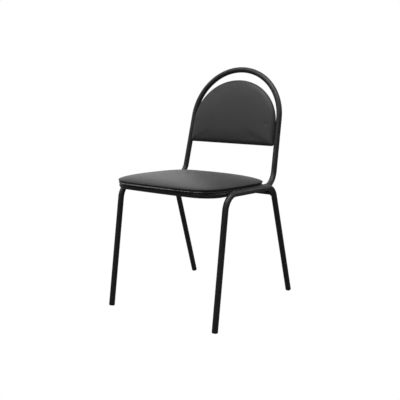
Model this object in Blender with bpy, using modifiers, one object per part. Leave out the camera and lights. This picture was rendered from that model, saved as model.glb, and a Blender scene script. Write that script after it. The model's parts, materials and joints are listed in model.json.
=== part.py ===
"""Four-leg visitor chair: a bent steel tube frame with an upholstered seat and a D-shaped back pad.

Metres, +Z up, the chair faces -Y. The origin is on the floor, under the middle of the chair.
"""
import math

import bmesh
import bpy
import numpy as np
from mathutils import Matrix, Vector

# Clearance between pieces that touch
GAP = 0.0003

# Facets: error of an arc's chords, sides of a tube, steps of turned pieces and of small corners
CHORD_ERROR = 0.0002
TUBE_SIDE_STEPS = 5
PLUG_STEPS = 16
FASTENER_STEPS = 12
CORNER_STEPS = 4
SMOOTH_ANGLE = math.radians(50)
MERGE_DISTANCE = 0.00001

# Seat cushion, in the plane of the rails; the frame is laid out from its edges
SEAT_WIDTH = 0.414
SEAT_DEPTH = 0.396
SEAT_REAR_Y = 0.126
SEAT_SQUARENESS = 4.6
SEAT_THICKNESS = 0.0377
SEAT_EDGE_ABOVE_HEM = 0.0072
SEAT_EDGE_ROUND = 0.005
SEAT_HEM_WIDTH = 0.030
SEAT_OUTLINE_POINTS = 40
SEAT_DOME_FULLNESS = 0.67
SEAT_DOME_SCALES = (0.3, 0.55, 0.75, 0.88, 0.96, 0.99, 1.0)
SEAT_FRONT_DROP = 0.002
FRONT_DROP_POWER = 4

# Steel tube of the legs and of the hoop
TUBE_DIAMETER = 0.020
TUBE_WALL = 0.0015

# Plane of the seat rails: height of their centre line above y = 0, and fall to the rear
RAIL_HEIGHT = 0.4164
SEAT_TILT = math.radians(2.94)

# Leg frames: side rails beside the seat, corners and feet
LEG_RAIL_BESIDE_SEAT = 0.0062
FOOT_BESIDE_RAIL = 0.0026
FRONT_FOOT_BEHIND_BAR = 0.0034
FRONT_CORNER_BEHIND_BAR = 0.0699
FRONT_BEND_RADIUS = 0.055
REAR_CORNER_AHEAD = 0.0131
REAR_FOOT_BEHIND_CORNER = 0.1368
REAR_BEND_RADIUS = 0.050

# Hoop: front bar under the seat's front edge, posts behind its rear edge, and arch
FRONT_BAR_BEHIND_EDGE = 0.0169
FRONT_BAR_BOW = 0.0095
FRONT_BAR_CORNER = 0.070
POST_CORNER_BEHIND = 0.0232
POST_BEND_RADIUS = 0.062
POST_LEAN_IN = 0.0101
RECLINE = math.radians(13.64)
CHAIR_HEIGHT = 0.820

# Cross tube between the leg frames, on the centre line of their rear bends at a share of the way round
CROSS_DIAMETER = 0.016
CROSS_WALL = 0.0012
CROSS_BEND_SHARE = 0.8

# Foot plugs; shares are of the stem
PLUG_HEAD = 0.0042
PLUG_EDGE_ROUND = 0.0028
PLUG_STEM = 0.020
PLUG_BARB = 0.0011
PLUG_BARB_SHARES = (0.85, 0.55)
PLUG_TIP_SHARE = 0.8
PLUG_WORN_DEPTH = 0.0008

# Screws and tee nuts; a head's profile is in shares of its radius and height
SCREW_RADIUS = 0.003
SCREW_TIP_RADIUS = 0.00225
SCREW_TIP_LENGTH = 0.0015
SCREW_TIP_BELOW_NUT = 0.001
SCREW_HEAD_RADIUS = 0.006
SCREW_HEAD_HEIGHT = 0.0034
SCREW_HEAD_PROFILE = ((1.0, 0.0), (1.0, 0.5), (0.75, 0.92), (0.0, 1.0))
NUT_WALL = 0.0011
NUT_FLANGE_RADIUS = 0.009
NUT_FLANGE = 0.0012

# Plates that the screws pass through
LUG_THICKNESS = 0.0025
LUG_ROUND = 0.006
LUG_EDGE_TO_HOLE = 0.014

# Seat lugs: flush with the tops of the rails, placed from the rails and the seat's edges
SEAT_SCREW_INSIDE_RAIL = 0.0289
SEAT_SCREW_FROM_FRONT = 0.135
SEAT_SCREW_FROM_REAR = 0.078
SEAT_LUG_WIDTH = 0.030

# Back lugs, in the plane of the posts, heights measured from the centre of the arch
BACK_SCREW_INSIDE_ARCH = 0.0273
BACK_LUG_WIDTH = 0.034
BACK_LUG_UP = -0.017

# Upholstery shared by seat and back
COVER_THICKNESS = 0.001
COVER_SLACK = 0.0006
BOARD_THICKNESS = 0.007
BOARD_INSET = 0.014
FLAT_SCALES = (0.85, 0.65, 0.35)
TURN_ANGLES = (math.radians(45), math.radians(90))

# Back pad, in the plane of the posts, heights measured from the centre of the arch
PAD_SIDE_CLEARANCE = 0.0006
PAD_HAND_GAP = 0.0303
PAD_SPRING = -0.018
PAD_BOTTOM = -0.0925
PAD_CORNER = 0.007
PAD_CORNER_LEAST = 0.0036
PAD_REAR_BEHIND_POSTS = 0.004
PAD_THICKNESS = 0.0305
PAD_EDGE_ABOVE_REAR = 0.010
PAD_EDGE_ROUND = 0.004
PAD_SHOULDER_WIDTH = 0.018
PAD_SHOULDER_SHARE = 0.78
PAD_SHOULDER_ANGLES = tuple(math.radians(angle) for angle in (90, 65, 42, 22, 8, 0))
PAD_FACE_SCALES = (0.35, 0.7)
PAD_ARCH_POINTS = 20
PAD_SIDE_POINTS = 2
PAD_BASE_POINTS = 4

# Places along the chair that follow from the seat's edges
SEAT_FRONT_Y = SEAT_REAR_Y - SEAT_DEPTH
SEAT_CENTRE_Y = (SEAT_FRONT_Y + SEAT_REAR_Y) / 2
FRONT_BAR_Y = SEAT_FRONT_Y + FRONT_BAR_BEHIND_EDGE
FRONT_FOOT_Y = FRONT_BAR_Y + FRONT_FOOT_BEHIND_BAR
FRONT_CORNER_Y = FRONT_BAR_Y + FRONT_CORNER_BEHIND_BAR
REAR_CORNER_Y = SEAT_REAR_Y - REAR_CORNER_AHEAD
REAR_FOOT_Y = REAR_CORNER_Y + REAR_FOOT_BEHIND_CORNER
POST_CORNER_Y = SEAT_REAR_Y + POST_CORNER_BEHIND
SEAT_SCREW_FRONT_Y = SEAT_FRONT_Y + SEAT_SCREW_FROM_FRONT
SEAT_SCREW_REAR_Y = SEAT_REAR_Y - SEAT_SCREW_FROM_REAR

# Places across the chair that follow from the seat's sides
LEG_RAIL_HALF_WIDTH = SEAT_WIDTH / 2 + LEG_RAIL_BESIDE_SEAT
FOOT_HALF_WIDTH = LEG_RAIL_HALF_WIDTH + FOOT_BESIDE_RAIL
HOOP_HALF_WIDTH = LEG_RAIL_HALF_WIDTH - TUBE_DIAMETER - GAP
ARCH_RADIUS = HOOP_HALF_WIDTH - POST_LEAN_IN
SEAT_SCREW_HALF_WIDTH = HOOP_HALF_WIDTH - SEAT_SCREW_INSIDE_RAIL

# Radii of bores
TUBE_RADIUS = TUBE_DIAMETER / 2
BORE_RADIUS = TUBE_RADIUS - TUBE_WALL
NUT_BORE = SCREW_RADIUS + GAP
NUT_RADIUS = NUT_BORE + NUT_WALL

# Levels above the plane of the rails, from the tubes up to the crown of the seat
SEAT_LUG_LEVEL = TUBE_RADIUS - LUG_THICKNESS
SEAT_HEM_LEVEL = TUBE_RADIUS + GAP
SEAT_BOARD_LEVEL = SEAT_HEM_LEVEL + COVER_THICKNESS + GAP
SEAT_EDGE_LEVEL = SEAT_HEM_LEVEL + SEAT_EDGE_ABOVE_HEM
SEAT_CROWN_LEVEL = SEAT_HEM_LEVEL + SEAT_THICKNESS

# Levels in front of the plane of the posts, from the lugs to the crown of the pad
PAD_REAR_LEVEL = -PAD_REAR_BEHIND_POSTS
PAD_LUG_LEVEL = PAD_REAR_LEVEL - GAP - LUG_THICKNESS
PAD_BOARD_LEVEL = PAD_REAR_LEVEL + COVER_THICKNESS + GAP
PAD_EDGE_LEVEL = PAD_REAR_LEVEL + PAD_EDGE_ABOVE_REAR
PAD_CROWN_LEVEL = PAD_REAR_LEVEL + PAD_THICKNESS
PAD_TOP = ARCH_RADIUS - TUBE_RADIUS - PAD_HAND_GAP
BACK_SCREW_HALF_WIDTH = ARCH_RADIUS - TUBE_RADIUS - BACK_SCREW_INSIDE_ARCH

# The two planes that carry the pieces: X across, Y along the plane, Z square to it
RAIL_PLANE = Matrix.Translation((0, 0, RAIL_HEIGHT)) @ Matrix.Rotation(-SEAT_TILT, 4, "X")
POST_CORNER_Z = RAIL_HEIGHT - POST_CORNER_Y * math.tan(SEAT_TILT)
POST_LENGTH = (CHAIR_HEIGHT - TUBE_RADIUS - POST_CORNER_Z) / math.cos(RECLINE) - ARCH_RADIUS
ARCH_CENTRE = Vector((
    0,
    POST_CORNER_Y + POST_LENGTH * math.sin(RECLINE),
    POST_CORNER_Z + POST_LENGTH * math.cos(RECLINE),
))
POST_PLANE = Matrix.Translation(ARCH_CENTRE) @ Matrix.Rotation(math.pi / 2 - RECLINE, 4, "X")

SIDES = (("left", -1), ("right", 1))


def clear_scene():
    """Remove every object, so that the script can be run again."""
    for obj in list(bpy.data.objects):
        bpy.data.objects.remove(obj, do_unlink=True)


def new_collection(name):
    """A fresh collection in the scene."""
    collection = bpy.data.collections.new(name)
    bpy.context.scene.collection.children.link(collection)
    return collection


def new_material(name, colour, roughness, metallic=0.0):
    """A Principled BSDF with one colour."""
    made = bpy.data.materials.new(name)
    made.use_nodes = True
    shader = made.node_tree.nodes["Principled BSDF"]
    shader.inputs["Base Color"].default_value = (*colour, 1.0)
    shader.inputs["Roughness"].default_value = roughness
    shader.inputs["Metallic"].default_value = metallic
    return made


clear_scene()
PARTS = new_collection("visitor_chair")
CUTTERS = new_collection("visitor_chair_cutters")

BLACK_PAINT = new_material("black_paint", (0.018, 0.018, 0.019), 0.42)
BLACK_PLASTIC = new_material("black_plastic", (0.014, 0.014, 0.014), 0.55)
ZINC = new_material("zinc_plate", (0.62, 0.61, 0.58), 0.35, 1.0)
PLYWOOD = new_material("plywood", (0.52, 0.36, 0.20), 0.65)
FOAM = new_material("foam", (0.72, 0.68, 0.55), 0.95)
LEATHERETTE = new_material("leatherette", (0.055, 0.055, 0.057), 0.48)


def new_empty(name, matrix, parent=None):
    """An empty that carries pieces."""
    empty = bpy.data.objects.new(name, None)
    PARTS.objects.link(empty)
    empty.parent = parent
    empty.matrix_basis = matrix
    return empty


CHAIR = new_empty("chair", Matrix())
RAILS = new_empty("rail_plane", RAIL_PLANE, CHAIR)
POSTS = new_empty("post_plane", POST_PLANE, CHAIR)


def add_part(name, data, finish, parent, place=None):
    """One named piece, in its material, on the empty that carries it."""
    obj = bpy.data.objects.new(name, data)
    data.materials.append(finish)
    PARTS.objects.link(obj)
    obj.parent = parent
    obj.matrix_basis = place or Matrix()
    return obj


def cut(obj, cutter):
    """Take a cutter's shape out of a piece."""
    modifier = obj.modifiers.new("cut_" + cutter.name, "BOOLEAN")
    modifier.operation = "DIFFERENCE"
    modifier.object = cutter


def add_cutter(obj, parent, place):
    """Put a shape among the cutters, out of sight."""
    CUTTERS.objects.link(obj)
    obj.parent = parent
    obj.matrix_basis = place
    obj.hide_render = True
    obj.display_type = "WIRE"
    return obj


def arc(centre, first, last):
    """Points from first to last round a centre, close enough together for the chord error."""
    start = first - centre
    end = last - centre
    sweep = start.angle(end)
    step = 2 * math.acos(1 - CHORD_ERROR / start.length)
    count = max(2, math.ceil(sweep / step))
    points = []
    for index in range(count + 1):
        part = index / count
        weights = math.sin((1 - part) * sweep), math.sin(part * sweep)
        points.append(centre + (start * weights[0] + end * weights[1]) / math.sin(sweep))
    return points


def bend(before, corner, after, radius):
    """Points round a tube bend between two straight runs."""
    inward = (before - corner).normalized()
    outward = (after - corner).normalized()
    half = inward.angle(outward) / 2
    middle = corner + (inward + outward).normalized() * (radius / math.sin(half))
    reach = radius / math.tan(half)
    return arc(middle, corner + inward * reach, corner + outward * reach)


def add_tube(name, points, diameter, parent, wall=None, cyclic=False):
    """A tube along a line of points: closed on itself, or hollow with open ends."""
    curve = bpy.data.curves.new(name, "CURVE")
    curve.dimensions = "3D"
    curve.bevel_depth = diameter / 2
    curve.bevel_resolution = TUBE_SIDE_STEPS
    spline = curve.splines.new("POLY")
    spline.points.add(len(points) - 1)
    for slot, point in zip(spline.points, points):
        slot.co = (*point, 1.0)
    spline.use_cyclic_u = cyclic
    spline.use_smooth = True
    tube = add_part(name, curve, BLACK_PAINT, parent)
    if wall:
        shell = tube.modifiers.new("wall", "SOLIDIFY")
        shell.thickness = wall
        shell.offset = -1
        shell.use_even_offset = True
    return tube


def loft(name, rings, first_pole, last_pole):
    """Skin a stack of rings, each counter-clockwise seen from the first pole, into a closed body."""
    shape = bmesh.new()
    rows = [[shape.verts.new(point) for point in ring] for ring in rings]
    first = shape.verts.new(first_pole)
    last = shape.verts.new(last_pole)
    count = len(rows[0])
    for index in range(count):
        after = (index + 1) % count
        shape.faces.new((first, rows[0][index], rows[0][after]))
        shape.faces.new((last, rows[-1][after], rows[-1][index]))
        for row, lower in zip(rows, rows[1:]):
            shape.faces.new((row[index], lower[index], lower[after], row[after]))
    mesh = bpy.data.meshes.new(name)
    shape.to_mesh(mesh)
    shape.free()
    mesh.shade_smooth()
    mesh.set_sharp_from_angle(angle=SMOOTH_ANGLE)
    return mesh


def turned(name, profile, steps, ring=False):
    """A turned piece: its profile runs down the outer side, and a ring's profile closes on itself."""
    mesh = bpy.data.meshes.new(name)
    edges = [(index, index + 1) for index in range(len(profile) - 1)]
    if ring:
        edges.append((len(profile) - 1, 0))
    mesh.from_pydata([(radius, 0, level) for radius, level in profile], edges, [])
    obj = bpy.data.objects.new(name, mesh)
    spin = obj.modifiers.new("turn", "SCREW")
    spin.steps = steps
    spin.render_steps = steps
    spin.use_merge_vertices = True
    spin.merge_threshold = MERGE_DISTANCE
    spin.use_smooth_shade = True
    return obj


def add_turned(name, profile, steps, finish, parent, place, ring=False):
    """A turned piece among the parts."""
    obj = turned(name, profile, steps, ring)
    obj.data.materials.append(finish)
    PARTS.objects.link(obj)
    obj.parent = parent
    obj.matrix_basis = place
    return obj


def rounded_rectangle(low, high, radius):
    """Corner arcs of a plate outline, counter-clockwise from the lower left."""
    corners = (
        (low[0] + radius, low[1] + radius, 180),
        (high[0] - radius, low[1] + radius, 270),
        (high[0] - radius, high[1] - radius, 0),
        (low[0] + radius, high[1] - radius, 90),
    )
    points = []
    for x, y, start in corners:
        for index in range(CORNER_STEPS + 1):
            angle = math.radians(start + 90 * index / CORNER_STEPS)
            points.append((x + radius * math.cos(angle), y + radius * math.sin(angle)))
    return points


def circle(centre, radius):
    """Points round a hole."""
    angles = [2 * math.pi * index / FASTENER_STEPS for index in range(FASTENER_STEPS)]
    return [(centre[0] + radius * math.cos(a), centre[1] + radius * math.sin(a)) for a in angles]


def add_plate(name, outline, hole, parent, place):
    """A flat steel plate with one hole, as thick as a lug, on its lower face."""
    curve = bpy.data.curves.new(name, "CURVE")
    curve.dimensions = "2D"
    curve.fill_mode = "BOTH"
    curve.extrude = LUG_THICKNESS / 2
    for points in (outline, hole):
        spline = curve.splines.new("POLY")
        spline.points.add(len(points) - 1)
        for slot, point in zip(spline.points, points):
            slot.co = (*point, 0, 1)
        spline.use_cyclic_u = True
    lift = Matrix.Translation((0, 0, LUG_THICKNESS / 2))
    return add_part(name, curve, BLACK_PAINT, parent, place @ lift)


class Cushion:
    """An upholstered form over a planform outline: domed front, rounded edge, flat back."""

    def __init__(self, outline, centre, levels, edge_round, dome_rows, sag=None):
        self.outline = outline
        self.centre = np.array(centre)
        self.back, self.edge, self.crown = levels
        self.edge_round = edge_round
        self.dome_rows = dome_rows
        self.sag = sag or (lambda y: 0 * y)

    def ring(self, inset, level, scale=1.0, sag_share=0.0):
        """The outline drawn in by an inset, scaled about the centre, at a level that may sag."""
        flat = self.centre + (self.outline(inset) - self.centre) * scale
        return np.column_stack((flat, level - sag_share * self.sag(flat[:, 1])))

    def pole(self, level):
        """The middle of a ring."""
        return *self.centre, level

    def dome(self, skin):
        """Rings from the crown out to the widest line, a skin's depth inside the outer form."""
        rise = self.crown - self.edge
        return [
            self.ring(skin + inset, self.edge - skin + rise * share, scale, 1.0)
            for inset, scale, share in self.dome_rows
        ]

    def turn(self, skin):
        """Rings round the edge, from below the widest line to the flat back."""
        wide = self.edge_round - skin
        deep = self.edge - self.back - skin
        rings = []
        for angle in TURN_ANGLES:
            inset = self.edge_round - wide * math.cos(angle)
            turned_in = math.sin(angle)
            rings.append(self.ring(inset, self.edge - deep * turned_in, 1.0, 1 - turned_in))
        return rings

    def flat(self, inset, level, scales):
        """Rings across a flat face."""
        return [self.ring(inset, level, scale) for scale in scales]


def seat_outline(inset):
    """Rounded square planform of the seat, counter-clockwise seen from above."""
    angles = np.arange(SEAT_OUTLINE_POINTS) * 2 * math.pi / SEAT_OUTLINE_POINTS
    across, along = np.cos(angles), np.sin(angles)
    power = 2 / SEAT_SQUARENESS
    x = (SEAT_WIDTH / 2 - inset) * np.sign(across) * abs(across) ** power
    y = (SEAT_DEPTH / 2 - inset) * np.sign(along) * abs(along) ** power
    return np.column_stack((x, y + SEAT_CENTRE_Y))


def front_reach(y):
    """How far a point lies from the middle of the seat to its front edge, from 0 to 1."""
    return np.maximum(0, (SEAT_CENTRE_Y - y) / (SEAT_DEPTH / 2))


def seat_sag(y):
    """Fall of the seat's top towards its front edge."""
    return SEAT_FRONT_DROP * front_reach(y) ** FRONT_DROP_POWER


def seat_dome():
    """Insets, scales and height shares of the seat's crowned top."""
    return [(0, scale, (1 - scale ** 2) ** SEAT_DOME_FULLNESS) for scale in SEAT_DOME_SCALES]


def pad_dome():
    """Insets, scales and height shares of the pad's front: a flat face inside a round shoulder."""
    rows = []
    for scale in PAD_FACE_SCALES:
        crown = (1 - PAD_SHOULDER_SHARE) * (1 - scale ** 2) ** 2
        rows.append((PAD_SHOULDER_WIDTH, scale, PAD_SHOULDER_SHARE + crown))
    for angle in PAD_SHOULDER_ANGLES:
        inset = PAD_SHOULDER_WIDTH * (1 - math.cos(angle))
        rows.append((inset, 1.0, PAD_SHOULDER_SHARE * math.sin(angle)))
    return rows


def pad_outline(inset):
    """D-shaped outline of the back pad: half an ellipse over sides that follow the posts."""
    beside = TUBE_RADIUS + PAD_SIDE_CLEARANCE + inset
    half = post_line(PAD_SPRING) - beside
    rise = PAD_TOP - PAD_SPRING - inset
    base = PAD_BOTTOM + inset
    corner = max(PAD_CORNER - inset, PAD_CORNER_LEAST)
    foot = post_line(base + corner) - beside
    points = []
    for index in range(PAD_ARCH_POINTS + 1):
        angle = math.pi * index / PAD_ARCH_POINTS
        points.append((half * math.cos(angle), PAD_SPRING + rise * math.sin(angle)))
    side = np.linspace(PAD_SPRING, base + corner, PAD_SIDE_POINTS + 2)[1:-1]
    right = [(post_line(level) - beside, level) for level in side]
    points += [(-x, level) for x, level in right]
    for start, sign in ((180, -1), (270, 1)):
        for index in range(CORNER_STEPS + 1):
            angle = math.radians(start + 90 * index / CORNER_STEPS)
            x = sign * (foot - corner) + corner * math.cos(angle)
            points.append((x, base + corner + corner * math.sin(angle)))
        if sign < 0:
            run = np.linspace(corner - foot, foot - corner, PAD_BASE_POINTS + 2)[1:-1]
            points += [(x, base) for x in run]
    points += right[::-1]
    return np.array(points)


SEAT = Cushion(
    seat_outline,
    (0, SEAT_CENTRE_Y),
    (SEAT_HEM_LEVEL, SEAT_EDGE_LEVEL, SEAT_CROWN_LEVEL),
    SEAT_EDGE_ROUND,
    seat_dome(),
    seat_sag,
)
PAD = Cushion(
    pad_outline,
    (0, (PAD_TOP + PAD_BOTTOM) / 2),
    (PAD_REAR_LEVEL, PAD_EDGE_LEVEL, PAD_CROWN_LEVEL),
    PAD_EDGE_ROUND,
    pad_dome(),
)


def post_point(x, up):
    """A point given in the plane of the posts."""
    return POST_PLANE @ Vector((x, up, 0))


def rail_run(y):
    """Distance along the sloping rails of a point that lies at y."""
    return y / math.cos(SEAT_TILT)


def arch_tangent():
    """Angle on the arch where a post that leans inward runs into it."""
    toe = Vector((HOOP_HALF_WIDTH, -POST_LENGTH))
    return math.acos(ARCH_RADIUS / toe.length) - math.atan2(POST_LENGTH, HOOP_HALF_WIDTH)


def post_line(up):
    """Distance across from the middle to a post's centre line."""
    start = arch_tangent()
    return ARCH_RADIUS * math.cos(start) + (ARCH_RADIUS * math.sin(start) - up) * math.tan(start)


def hoop_half():
    """Centre line of the hoop's right half, from the middle of the front bar to the top of the arch."""
    half = HOOP_HALF_WIDTH
    front = rail_run(FRONT_BAR_Y)
    bow = (half ** 2 + FRONT_BAR_BOW ** 2) / (2 * FRONT_BAR_BOW)
    bow_centre = Vector((0, front + bow, 0))
    corner_x = half - FRONT_BAR_CORNER
    back = math.sqrt((bow - FRONT_BAR_CORNER) ** 2 - corner_x ** 2)
    corner_centre = Vector((corner_x, front + bow - back, 0))
    meeting = bow_centre + (corner_centre - bow_centre).normalized() * bow
    flat = arc(bow_centre, Vector((0, front, 0)), meeting)
    flat += arc(corner_centre, meeting, Vector((half, corner_centre.y, 0)))[1:]
    points = [RAIL_PLANE @ point for point in flat]

    start = arch_tangent()
    spring = post_point(ARCH_RADIUS * math.cos(start), ARCH_RADIUS * math.sin(start))
    toe = Vector((half, POST_CORNER_Y, POST_CORNER_Z))
    points += bend(points[-1], toe, spring, POST_BEND_RADIUS)
    points += arc(ARCH_CENTRE, spring, post_point(0, ARCH_RADIUS))
    return points


def build_hoop():
    """Front bar, seat rails, posts and arch, bent from one tube whose ends meet."""
    right = hoop_half()
    left = [Vector((-point.x, point.y, point.z)) for point in reversed(right[1:-1])]
    add_tube("back_seat_hoop", right + left, TUBE_DIAMETER, CHAIR, cyclic=True)


def leg_corners(side):
    """Front foot, front corner, rear corner and rear foot of one leg frame, on its centre line."""
    rail = side * LEG_RAIL_HALF_WIDTH
    foot = side * FOOT_HALF_WIDTH
    front = Vector((rail, FRONT_CORNER_Y, RAIL_HEIGHT - FRONT_CORNER_Y * math.tan(SEAT_TILT)))
    rear = Vector((rail, REAR_CORNER_Y, RAIL_HEIGHT - REAR_CORNER_Y * math.tan(SEAT_TILT)))
    return Vector((foot, FRONT_FOOT_Y, 0)), front, rear, Vector((foot, REAR_FOOT_Y, 0))


def sole_offset(axis):
    """Height along a leg from the floor to the sole's middle, with the low edge worn flat."""
    lean = axis.angle(Vector((0, 0, 1)))
    edge = PLUG_EDGE_ROUND
    low = edge - PLUG_WORN_DEPTH + (TUBE_RADIUS - edge) * math.sin(lean)
    return low / math.cos(lean) - edge


def tube_end(foot, corner):
    """Where a leg tube ends, above the head of its foot plug."""
    axis = (corner - foot).normalized()
    return foot + axis * (sole_offset(axis) + PLUG_HEAD + GAP)


def build_leg(name, side):
    """One leg frame: front leg, side rail and rear leg bent from one tube."""
    front_foot, front, rear, rear_foot = leg_corners(side)
    points = [tube_end(front_foot, front)]
    points += bend(front_foot, front, rear, FRONT_BEND_RADIUS)
    points += bend(front, rear, rear_foot, REAR_BEND_RADIUS)
    points.append(tube_end(rear_foot, rear))
    add_tube("leg_tube_" + name, points, TUBE_DIAMETER, CHAIR, wall=TUBE_WALL)


def build_cross_tube():
    """Straight tube from one leg frame to the other, its open ends against their inner sides."""
    ends = []
    for _, side in SIDES:
        _, front, rear, rear_foot = leg_corners(side)
        points = bend(front, rear, rear_foot, REAR_BEND_RADIUS)
        run = CROSS_BEND_SHARE * (len(points) - 1)
        before = int(run)
        place = points[before].lerp(points[before + 1], run - before)
        place.x -= side * (TUBE_RADIUS + GAP)
        ends.append(place)
    add_tube("rear_cross_tube", ends, CROSS_DIAMETER, CHAIR, wall=CROSS_WALL)


def plug_profile():
    """Plug from the tip of its stem down to the middle of its sole."""
    stem = BORE_RADIUS - GAP
    root = stem - PLUG_BARB
    top = PLUG_HEAD + PLUG_STEM
    profile = [(0, top), (root * PLUG_TIP_SHARE, top)]
    for share in PLUG_BARB_SHARES:
        level = PLUG_HEAD + PLUG_STEM * share
        profile += [(root, level), (stem, level - PLUG_BARB), (root, level - 2 * PLUG_BARB)]
    profile += [(root, PLUG_HEAD), (TUBE_RADIUS, PLUG_HEAD)]
    edge = PLUG_EDGE_ROUND
    for index in range(CORNER_STEPS + 1):
        angle = math.pi / 2 * index / CORNER_STEPS
        profile.append((
            TUBE_RADIUS - edge + edge * math.cos(angle),
            edge - edge * math.sin(angle),
        ))
    profile.append((0, 0))
    return profile


def floor_cutter():
    """Block under the floor that wears the plugs flat, larger than the chair."""
    size = 2 * CHAIR_HEIGHT
    mesh = bpy.data.meshes.new("floor_cutter")
    shape = bmesh.new()
    bmesh.ops.create_cube(shape, size=size)
    shape.to_mesh(mesh)
    shape.free()
    block = bpy.data.objects.new("floor_cutter", mesh)
    return add_cutter(block, CHAIR, Matrix.Translation((0, 0, -size / 2)))


def build_foot_plugs():
    """Plastic plugs in the four tube ends, flat where they stand."""
    floor = floor_cutter()
    for name, side in SIDES:
        front_foot, front, rear, rear_foot = leg_corners(side)
        for end, foot, corner in (("front", front_foot, front), ("rear", rear_foot, rear)):
            axis = (corner - foot).normalized()
            turn = axis.to_track_quat("Z", "Y").to_matrix().to_4x4()
            place = Matrix.Translation(foot + axis * sole_offset(axis)) @ turn
            label = f"foot_plug_{end}_{name}"
            plug = add_turned(label, plug_profile(), PLUG_STEPS, BLACK_PLASTIC, CHAIR, place)
            cut(plug, floor)


def screw_profile(length):
    """Pan-head screw, its shank up and the bearing face of its head at zero."""
    profile = [
        (0, length),
        (SCREW_TIP_RADIUS, length),
        (SCREW_RADIUS, length - SCREW_TIP_LENGTH),
        (SCREW_RADIUS, 0),
    ]
    for wide, deep in SCREW_HEAD_PROFILE:
        profile.append((SCREW_HEAD_RADIUS * wide, -SCREW_HEAD_HEIGHT * deep))
    return profile


def nut_profile():
    """Tee nut, its flange on top at zero and its barrel as long as the board is thick."""
    low = -(BOARD_THICKNESS - GAP)
    return [
        (NUT_FLANGE_RADIUS, 0),
        (NUT_FLANGE_RADIUS, -NUT_FLANGE),
        (NUT_RADIUS, -NUT_FLANGE),
        (NUT_RADIUS, low),
        (NUT_BORE, low),
        (NUT_BORE, 0),
    ]


def nut_hole_profile():
    """Stepped hole in a board for a tee nut, its mouth past both faces."""
    flange = NUT_FLANGE_RADIUS + GAP
    barrel = NUT_RADIUS + GAP
    step = -NUT_FLANGE - GAP
    past = BOARD_THICKNESS
    return [
        (0, past),
        (flange, past),
        (flange, step),
        (barrel, step),
        (barrel, -BOARD_THICKNESS - past),
        (0, -BOARD_THICKNESS - past),
    ]


def screw_hole_profile():
    """Plain hole for a screw, longer than a cover is thick."""
    radius = SCREW_RADIUS + GAP
    reach = BOARD_THICKNESS
    return [(0, reach), (radius, reach), (radius, -reach), (0, -reach)]


def add_fastening(prefix, suffix, spot, lug_level, board_level, board, parent):
    """Screw, tee nut and the board's hole at one spot of a plane."""
    top = board_level + BOARD_THICKNESS
    seat = lug_level - GAP
    at_top = Matrix.Translation((*spot, top))
    at_lug = Matrix.Translation((*spot, seat))
    hole = turned(f"{prefix}_hole_{suffix}", nut_hole_profile(), FASTENER_STEPS)
    cut(board, add_cutter(hole, parent, at_top))
    add_turned(
        f"{prefix}_tee_nut_{suffix}", nut_profile(), FASTENER_STEPS, ZINC, parent, at_top, ring=True
    )
    length = top - seat - SCREW_TIP_BELOW_NUT
    add_turned(f"{prefix}_screw_{suffix}", screw_profile(length), FASTENER_STEPS, ZINC, parent, at_lug)


def add_board(name, cushion, level, parent):
    """Plywood board of a cushion, inset from its edge."""
    top = level + BOARD_THICKNESS
    rings = cushion.flat(BOARD_INSET, top, reversed(FLAT_SCALES))
    rings += cushion.flat(BOARD_INSET, top, (1.0,)) + cushion.flat(BOARD_INSET, level, (1.0,))
    rings += cushion.flat(BOARD_INSET, level, FLAT_SCALES)
    mesh = loft(name, rings, cushion.pole(top), cushion.pole(level))
    return add_part(name, mesh, PLYWOOD, parent)


def add_foam(name, cushion, level, parent):
    """Foam cap of a cushion, let down over the edge of its board."""
    skin = COVER_THICKNESS + COVER_SLACK
    ceiling = level + BOARD_THICKNESS + GAP
    inset = BOARD_INSET - GAP
    rings = cushion.dome(skin) + cushion.turn(skin)
    rings.append(cushion.ring(inset, cushion.back + skin))
    rings += cushion.flat(inset, ceiling, (1.0,) + FLAT_SCALES)
    mesh = loft(name, rings, cushion.pole(cushion.crown - skin), cushion.pole(ceiling))
    return add_part(name, mesh, FOAM, parent)


def add_skin(name, outer, inner, poles, parent):
    """A cover: outer rings, then inner rings back again, so that its wall is closed."""
    mesh = loft(name, outer + inner[::-1], *poles)
    return add_part(name, mesh, LEATHERETTE, parent)


def build_seat_cover():
    """Cover over the crown and edge of the seat, with its hem turned under the board."""
    wall = COVER_THICKNESS
    outer = SEAT.dome(0) + SEAT.turn(0) + [SEAT.ring(SEAT_HEM_WIDTH, SEAT_HEM_LEVEL)]
    inner = SEAT.dome(wall) + SEAT.turn(wall) + [SEAT.ring(SEAT_HEM_WIDTH, SEAT_HEM_LEVEL + wall)]
    poles = SEAT.pole(SEAT_CROWN_LEVEL), SEAT.pole(SEAT_CROWN_LEVEL - wall)
    add_skin("seat_cover", outer, inner, poles, RAILS)


def build_seat():
    """Board, foam, cover, lugs and fastenings of the seat."""
    board = add_board("seat_board", SEAT, SEAT_BOARD_LEVEL, RAILS)
    add_foam("seat_foam", SEAT, SEAT_BOARD_LEVEL, RAILS)
    build_seat_cover()
    for end, y in (("front", SEAT_SCREW_FRONT_Y), ("rear", SEAT_SCREW_REAR_Y)):
        for name, side in SIDES:
            spot = (side * SEAT_SCREW_HALF_WIDTH, y)
            label = f"{end}_{name}"
            add_fastening("seat", label, spot, SEAT_LUG_LEVEL, SEAT_BOARD_LEVEL, board, RAILS)
            add_seat_lug("seat_lug_" + label, side, spot)


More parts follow.
